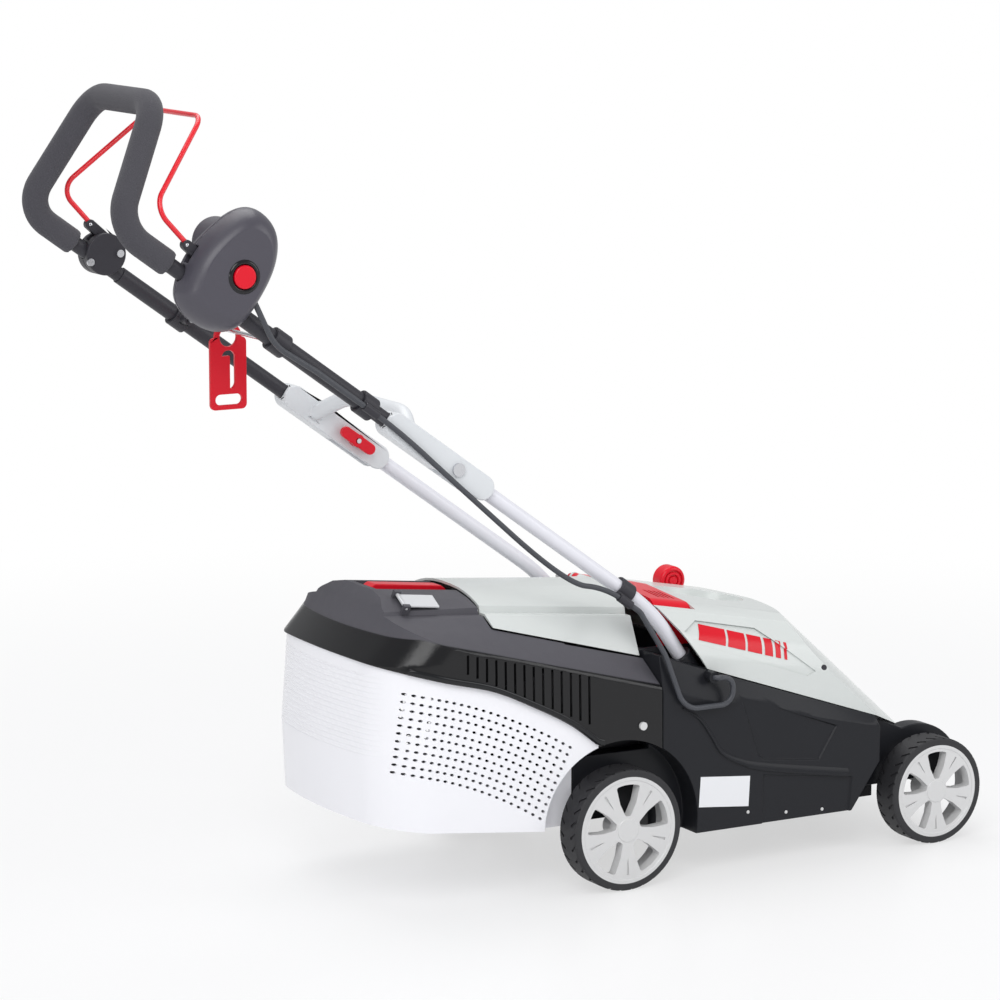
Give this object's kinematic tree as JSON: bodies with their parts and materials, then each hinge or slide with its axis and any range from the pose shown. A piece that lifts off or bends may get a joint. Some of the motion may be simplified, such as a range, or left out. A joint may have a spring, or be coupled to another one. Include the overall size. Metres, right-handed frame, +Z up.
{
  "type": "electric lawn mower",
  "caption": "Walk-behind corded electric rotary lawn mower with a folding loop handle, rear flap, lift-off grass box and a height lever that raises both axles.",
  "frame": {"origin": "centre of the overall box at ground level, under the mower", "axes": "+X forward (the way the mower is pushed), +Y to its left, +Z up"},
  "size_m": [1.1681, 0.374, 0.979],
  "materials": {
    "black": "moulded black plastic",
    "black_gloss": "glossy black plastic",
    "pale": "glossy pale grey plastic",
    "white": "glossy white plastic",
    "grey": "grey plastic",
    "red": "glossy red plastic",
    "red_wire": "red powder-coated wire",
    "tube": "silver-grey painted tube",
    "foam": "closed-cell foam, charcoal",
    "tyre": "black rubber",
    "steel": "bright steel",
    "iron": "laminated iron and copper",
    "cable": "black cable jacket"
  },
  "bodies": {
    "chassis": {"deck": "black", "motor_cover": "pale", "vent_cover": "red", "front_cover": "grey", "motor_housing": "iron", "motor_screws": "steel", "lower_tube_left": "tube", "lower_tube_right": "tube", "flap_pin": "steel", "joint_bolts": "steel", "cable_lower": "cable", "cable_clip_lower": "black", "cable_gland": "black", "axle_straps": "black"},
    "upper_handle": {"handle_loop": "tube", "handle_bridge": "pale", "tube_sleeves": "black", "foam_grip": "foam", "switch_box_outer": "black", "switch_box_inner": "black", "inlet_pins": "steel", "switch_block": "black", "pivot_housing_outer": "black", "pivot_housing_inner": "black", "housing_screws": "steel", "rod_clips": "black", "cable_clip_upper": "black", "cable_upper": "cable", "cable_slack": "cable"},
    "bail": {"bail_wire": "red_wire", "bail_arms": "black"},
    "lock_button": {"lock_button": "red"},
    "relief_rod": {"relief_rod": "steel"},
    "cord_hook": {"cord_hook": "red"},
    "wing_nut_left": {"wing_nut_left": "red"},
    "wing_nut_right": {"wing_nut_right": "red"},
    "rear_flap": {"rear_flap": "white"},
    "grass_box": {"box_lower": "white", "box_lid": "black_gloss", "box_grip": "red", "side_rivets": "white"},
    "fill_indicator": {"fill_indicator": "grey"},
    "rotor": {"motor_rotor": "iron", "blade_carrier": "black", "blade": "steel", "blade_bolt": "steel"},
    "height_lever": {"height_lever": "steel", "height_knob": "red"},
    "rear_axle": {"rear_axle": "steel"},
    "front_axle": {"front_axle": "steel"},
    "link_rod": {"link_rod": "steel"},
    "wheel_rear_left": {"tyre_rear_left": "tyre", "rim_rear_left": "pale"},
    "wheel_rear_right": {"tyre_rear_right": "tyre", "rim_rear_right": "pale"},
    "wheel_front_left": {"tyre_front_left": "tyre", "rim_front_left": "pale"},
    "wheel_front_right": {"tyre_front_right": "tyre", "rim_front_right": "pale"}
  },
  "joints": [
    {"name": "handle_fold", "type": "hinge", "parent": "chassis", "child": "upper_handle", "pos_m": [-0.1569, 0, 0.528], "axis": [0, 1, 0], "range_deg": [0, 124], "deforming": ["cable_slack"]},
    {"name": "bail_swing", "type": "hinge", "parent": "upper_handle", "child": "bail", "pos_m": [-0.46714, 0, 0.78172], "axis": [0, -1, 0], "range_deg": [0, 12], "stiffness_Nm_per_rad": 1.5, "springref_deg": -17.19},
    {"name": "lock_button_press", "type": "slide", "parent": "upper_handle", "child": "lock_button", "axis": [0, 1, 0], "range_m": [0, 0.005], "stiffness_N_per_m": 400, "springref_m": -0.004},
    {"name": "relief_rod_turn", "type": "hinge", "parent": "upper_handle", "child": "relief_rod", "pos_m": [-0.38347, 0, 0.69081], "axis": [0, 1, 0], "range_deg": [-90, 90]},
    {"name": "cord_hook_slide", "type": "slide", "parent": "relief_rod", "child": "cord_hook", "axis": [0, 1, 0], "range_m": [-0.09, 0.09]},
    {"name": "wing_nut_left_turn", "type": "hinge", "parent": "chassis", "child": "wing_nut_left", "pos_m": [-0.1569, 0.11, 0.528], "axis": [0, 1, 0], "continuous": true},
    {"name": "wing_nut_right_turn", "type": "hinge", "parent": "chassis", "child": "wing_nut_right", "pos_m": [-0.1569, -0.11, 0.528], "axis": [0, 1, 0], "continuous": true},
    {"name": "rear_flap_lift", "type": "hinge", "parent": "chassis", "child": "rear_flap", "pos_m": [0.1291, 0, 0.337], "axis": [0, 1, 0], "range_deg": [0, 75]},
    {"name": "grass_box_pull", "type": "slide", "parent": "chassis", "child": "grass_box", "axis": [-1, 0, 0], "range_m": [0, 0.26]},
    {"name": "fill_indicator_lift", "type": "hinge", "parent": "grass_box", "child": "fill_indicator", "pos_m": [-0.19622, -0.07731, 0.36334], "axis": [-0.0508, -0.8956, -0.442], "range_deg": [0, 35]},
    {"name": "blade_spin", "type": "hinge", "parent": "chassis", "child": "rotor", "pos_m": [0.2871, 0, 0.064], "axis": [0, 0, 1], "continuous": true},
    {"name": "height_lever_swing", "type": "hinge", "parent": "chassis", "child": "height_lever", "pos_m": [0.3071, 0.1284, 0.13963], "axis": [0, 1, 0], "range_deg": [-25, 13.5]},
    {"name": "rear_axle_turn", "type": "hinge", "parent": "chassis", "child": "rear_axle", "pos_m": [0.0871, 0, 0.075], "axis": [0, 1, 0], "range_deg": [-14, 25.5]},
    {"name": "front_axle_turn", "type": "hinge", "parent": "chassis", "child": "front_axle", "pos_m": [0.5441, 0, 0.068], "axis": [0, 1, 0], "range_deg": [-14, 25.5]},
    {"name": "link_rod_swing", "type": "hinge", "parent": "rear_axle", "child": "link_rod", "pos_m": [0.0871, 0.124, 0.109], "axis": [0, 1, 0], "range_deg": [-25.5, 14]},
    {"name": "wheel_rear_left_spin", "type": "hinge", "parent": "rear_axle", "child": "wheel_rear_left", "pos_m": [0.0551, 0.168, 0.075], "axis": [0, 1, 0], "continuous": true},
    {"name": "wheel_rear_right_spin", "type": "hinge", "parent": "rear_axle", "child": "wheel_rear_right", "pos_m": [0.0551, -0.168, 0.075], "axis": [0, 1, 0], "continuous": true},
    {"name": "wheel_front_left_spin", "type": "hinge", "parent": "front_axle", "child": "wheel_front_left", "pos_m": [0.5121, 0.168, 0.068], "axis": [0, 1, 0], "continuous": true},
    {"name": "wheel_front_right_spin", "type": "hinge", "parent": "front_axle", "child": "wheel_front_right", "pos_m": [0.5121, -0.168, 0.068], "axis": [0, 1, 0], "continuous": true}
  ],
  "couplings": [
    {"joint": "rear_axle_turn", "follows": "height_lever_swing", "ratio": -1},
    {"joint": "front_axle_turn", "follows": "height_lever_swing", "ratio": -1},
    {"joint": "link_rod_swing", "follows": "height_lever_swing", "ratio": 1}
  ]
}
